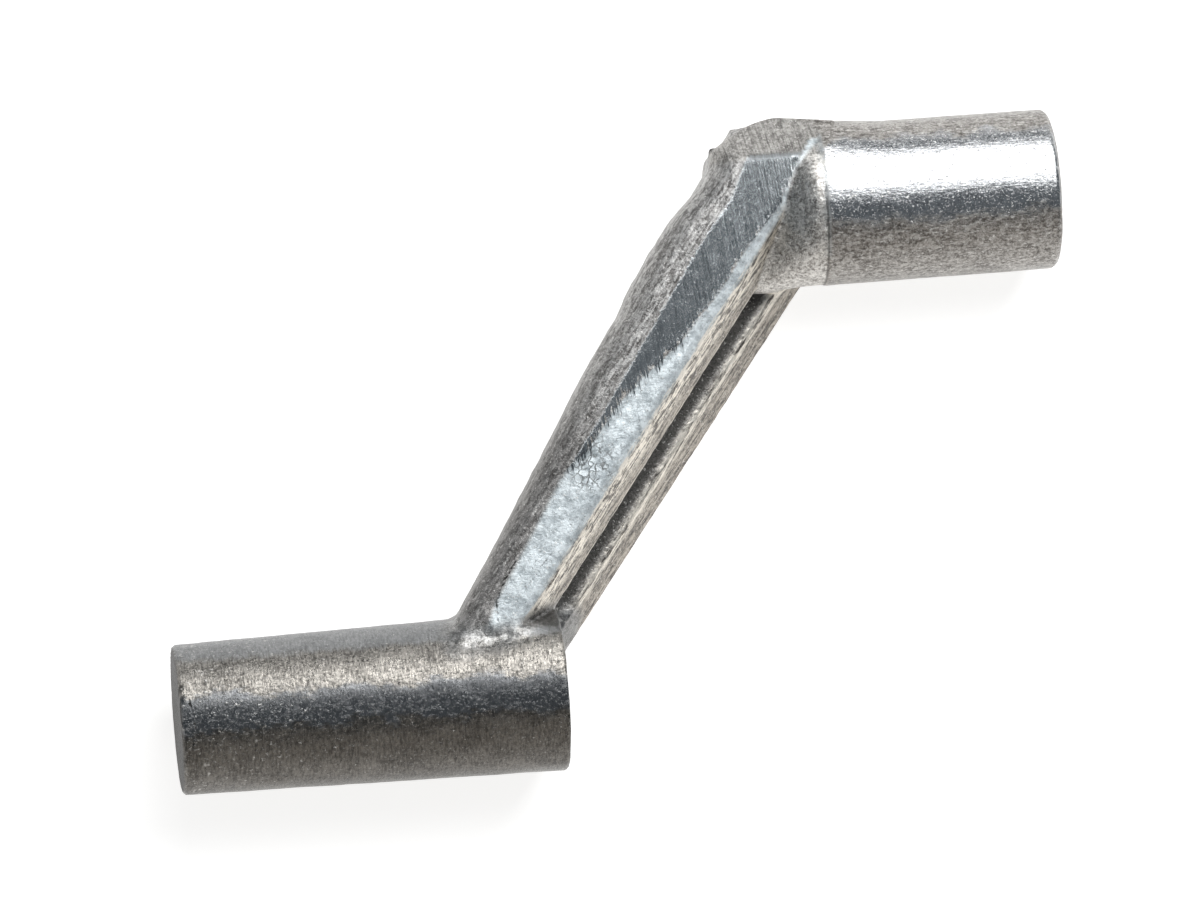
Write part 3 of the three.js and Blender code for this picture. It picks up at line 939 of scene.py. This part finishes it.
def zinc_colour(m, f):
    """Base colour: one skin laid over another, and then the marks."""

    def two(field, width, name):
        dark, light = SKINS[name]
        return m.colour(m.step(field, -width, width), rgb(dark), rgb(light))

    def mark(colour, share, name):
        return m.colour(share, colour, rgb(MARKS[name]))

    arm_mix = m.weigh((f.along_arm, 0.8), (f.grain, 0.4), (f.lumps, 0.15))
    speck_mix = m.weigh((f.grain, 0.8), (f.fine, 0.6))
    flat_mix = m.weigh((f.strokes, 0.8), (f.fine, 0.35))
    cast_mix = m.weigh((f.lumps, 0.8), (f.grain, 0.45), (f.fine, 0.2))
    facet_mix = m.weigh((flat_mix, 0.7), (f.grain, 0.5), (f.lumps, 0.45))
    foot_mix = m.add(speck_mix, m.times(f.lumps, 0.8))
    end_mix = m.add(speck_mix, m.times(f.lumps, 0.5))
    neck_mix = m.add(speck_mix, m.times(f.lumps, 0.4))

    # painted light: the band is lighter up the arm towards the elbow, where the light falls on it
    up_the_arm = m.step(m.add(f.y, m.times(f.lumps, 8.0)), -27.0, -9.0)
    band = m.colour(up_the_arm, two(arm_mix, 0.13, "band_low"), two(arm_mix, 0.13, "band_high"))
    band = mark(band, m.times(f.marks_dark, 0.6), "band_dark")
    band = mark(band, m.times(f.marks_light, 0.45), "band_light")
    neck = mark(two(neck_mix, 0.17, "neck"), m.times(f.flecks_dark, 0.45), "neck_dark")
    neck = mark(neck, m.times(m.either(f.marks_light, f.flecks_light), 0.5), "neck_light")
    facet = mark(two(facet_mix, 0.15, "facet"), m.times(f.marks_dark, 0.35), "facet_dark")
    edge_share = m.times(f.inner_edge, m.step(f.along_arm, -0.12, 0.05), 0.85)

    colour = bar_colour(m, two, mark, f)
    for share, skin in (
        (m.times(f.band, 0.95), band),
        (m.times(f.wall, 0.95), two(arm_mix, 0.12, "wall")),
        (m.times(f.neck, 0.97), neck),
        (m.times(f.recess, 0.98), two(speck_mix, 0.2, "recess")),
        (f.topfacet, facet),
        (m.times(f.bright, 0.95), two(cast_mix, 0.17, "bright")),
        (m.times(f.streak, 0.85), rgb(MARKS["streak"])),
        (f.ground, two(flat_mix, 0.18, "ground")),
        (edge_share, rgb(MARKS["inner_edge"])),
        (m.times(f.foot, 0.8), two(foot_mix, 0.2, "foot")),
        (m.times(f.end_face, 0.9), two(end_mix, 0.25, "end_face")),
        (f.free_end, two(end_mix, 0.25, "free_end")),
        (m.times(f.in_socket, 0.95), two(speck_mix, 0.2, "socket")),
    ):
        colour = m.colour(share, colour, skin)
    for name, share in (
        ("dirt", f.dirt),
        ("speck_dark", m.times(f.speck_dark, f.rough_skin, 0.45)),
        ("speck_light", m.times(f.speck_light, f.rough_skin, m.blend(f.grip, 0.65, 0.2))),
        ("fold", m.times(f.fold, 0.9)),
        ("scratch", m.times(f.scratch, 0.6)),
        ("crack", m.times(f.cracks, 0.75)),
        ("top_edge", m.times(f.top_edge, 0.45)),
        ("rim", m.times(f.rim, 0.6)),
    ):
        colour = mark(colour, share, name)
    return colour


def zinc_roughness(m, f):
    grip_rough = m.blend(f.grip_upper, m.blend(f.grip_skin, 0.27, 0.28), 0.36)
    rough = m.blend(f.grip, m.blend(f.hub_skin, 0.22, 0.32), grip_rough)
    for mask, value in (
        (f.band, 0.48),
        (f.neck, 0.42),
        (f.wall, 0.42),
        (f.recess, 0.65),
        (f.bright, 0.46),
        (f.topfacet, 0.46),
        (f.end_face, 0.5),
        (f.in_socket, 0.6),
        (f.ground, 0.17),
        (f.top_edge, 0.6),
    ):
        rough = m.blend(mask, rough, value)
    uneven = m.weigh((f.lumps, 0.16), (f.grain, 0.12), (f.dirt, 0.15), (f.speck_dark, 0.12))
    return m.math("MINIMUM", m.either(m.add(rough, uneven), 0.12), 0.85)


def zinc_height(m, f):
    """The finest relief, in millimetres."""
    coarse = m.blend(f.grip, m.blend(f.hub_skin, 0.45, 1.1), m.blend(f.grip_skin, 0.3, 1.0))
    zones = m.weigh((f.band, 0.9), (f.recess, 1.2), (f.wall, 0.6), (f.neck, 0.3))
    coarse = m.add(coarse, zones, m.times(f.in_socket, -0.7))
    cast = m.weigh(
        (m.times(f.lumps, coarse), 0.06),
        (m.times(f.grain, coarse), 0.042),
        (m.times(f.fine, coarse), 0.012),
        (m.times(f.along_bar, m.math("SUBTRACT", 1.0, f.grip)), 0.030),
        (m.times(f.along_arm, f.band), 0.06),
        (m.times(f.marks_dark, f.band), -0.04),
        (m.times(f.hoops, f.grip), 0.026),
        (m.times(f.chips, f.grip), 0.03),
        (m.times(f.flecks_light, f.hub_skin), 0.014),
        (f.speck_dark, -0.014),
        (f.speck_light, 0.015),
        (f.fold, -0.06),
        (f.scratch, -0.03),
        (f.cracks, -0.05),
    )
    ground = m.add(m.weigh((f.strokes, 0.009), (f.fine, 0.002)), 0.01)
    return m.add(m.blend(f.ground, cast, ground), m.times(f.topfacet, f.strokes, 0.03))


def zinc():
    m = Shader("die_cast_zinc")
    f = zinc_fields(m)
    add_ground_flat(m, f)
    add_bar_masks(m, f)
    add_marks(m, f)
    m.put(m.surface.inputs["Base Color"], zinc_colour(m, f))
    m.put(m.surface.inputs["Roughness"], zinc_roughness(m, f))
    # the bright patch is partly dull white oxide, which is no metal
    oxide = m.times(f.bright, f.rough_skin, 0.45)
    m.put(m.surface.inputs["Metallic"], m.math("SUBTRACT", 1.0, oxide))
    m.bump(zinc_height(m, f))
    return m.material


def black_steel():
    m = Shader("black_oxide_steel")
    wear = m.step(m.noise(2.5, 4, 0.6), 0.45, 0.75)
    oxide, bare = (0.045, 0.045, 0.05), (0.14, 0.135, 0.13)
    m.put(m.surface.inputs["Base Color"], m.colour(wear, rgb(oxide), rgb(bare)))
    rough = m.step(m.noise(5.0, 3, 0.6, seed=1), 0.3, 0.7, 0.28, 0.5)
    m.put(m.surface.inputs["Roughness"], rough)
    m.surface.inputs["Metallic"].default_value = 1.0
    m.bump(m.times(m.noise(6.0, 3, 0.6, seed=2), 0.01))
    return m.material


crank.data.materials.append(zinc())
screw.data.materials.append(black_steel())
for node_name, stand_in in (("crank_casting", crank), ("set_screw", screw)):
    cad = frame["nodes"][node_name]
    cad.data.materials.clear()
    cad.data.materials.append(stand_in.data.materials[0])

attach(crank, "handle")
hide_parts("crank_casting")
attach(screw, "set_screw")
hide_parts("set_screw")

# ---------- Floor, lights and camera ----------


def floor():
    """A pale floor just under the handle, lit from within to come out near white."""
    half = 4.0
    level = float(cad_box[0][2]) - 0.02 * MM
    corners = [(-half, -half), (half, -half), (half, half), (-half, half)]
    mesh = bpy.data.meshes.new("floor")
    mesh.from_pydata([(*corner, level) for corner in corners], [], [(0, 1, 2, 3)])
    made = bpy.data.objects.new("floor", mesh)
    bpy.context.scene.collection.objects.link(made)
    material = bpy.data.materials.new("pale_floor")
    material.use_nodes = True
    surface = material.node_tree.nodes["Principled BSDF"]
    surface.inputs["Base Color"].default_value = (0.55, 0.55, 0.55, 1)
    surface.inputs["Emission Color"].default_value = (1.0, 0.99, 0.975, 1)
    surface.inputs["Emission Strength"].default_value = 0.8
    surface.inputs["Roughness"].default_value = 0.9
    surface.inputs["Specular IOR Level"].default_value = 0.1
    made.data.materials.append(material)


def softbox(name, target, direction, distance, size, radiance, colour):
    """A rectangular area light facing target, with a stated radiance. Lengths are in metres."""
    light = bpy.data.lights.new(name, "AREA")
    light.shape = "RECTANGLE"
    light.size, light.size_y = size
    light.energy = radiance * math.pi * size[0] * size[1]
    light.color = colour
    made = bpy.data.objects.new(name, light)
    bpy.context.scene.collection.objects.link(made)
    away = Vector(direction).normalized()
    made.location = Vector(target) + away * distance
    made.rotation_mode = "QUATERNION"
    made.rotation_quaternion = away.to_track_quat("Z", "Y")


def world():
    made = bpy.data.worlds.new("studio")
    bpy.context.scene.world = made
    made.use_nodes = True
    back = made.node_tree.nodes["Background"]
    back.inputs["Color"].default_value = (0.80, 0.90, 1.0, 1)
    back.inputs["Strength"].default_value = 0.21


def camera():
    """A long lens at the angle that the handle was fitted to, with its turns in degrees."""
    data = bpy.data.cameras.new("camera")
    made = bpy.data.objects.new("camera", data)
    bpy.context.scene.collection.objects.link(made)
    data.sensor_width = 36.0
    data.lens = 259.3
    data.clip_start = 0.05
    data.clip_end = 20.0
    turn = Matrix.Identity(3)
    for degrees, axis in ((-6.004, "Y"), (5.993, "X"), (-4.988, "Z")):
        turn = turn @ Matrix.Rotation(math.radians(degrees), 3, axis)
    handle_middle = Vector((-26.9, -22.9, 0.0))
    aside_and_back = Vector((-1.08, 0.23, 850.0))
    made.rotation_mode = "QUATERNION"
    made.rotation_quaternion = turn.to_quaternion()
    made.location = (handle_middle + turn @ aside_and_back) * MM
    bpy.context.scene.camera = made


floor()
world()
softbox(
    "key",
    target=(0.0, 0.0, 0.0),
    direction=(0.27, 0.56, 0.80),
    distance=0.36,
    size=(0.34, 0.31),
    radiance=5.4,
    colour=(0.99, 0.995, 1.0),
)
softbox(
    "fill",
    target=(-0.02, -0.02, 0.0),
    direction=(0.1, -0.92, 0.42),
    distance=0.60,
    size=(0.8, 0.45),
    radiance=0.65,
    colour=(1.0, 0.93, 0.85),
)
camera()
scene = bpy.context.scene
scene.view_settings.view_transform = "Standard"
scene.view_settings.look = "None"
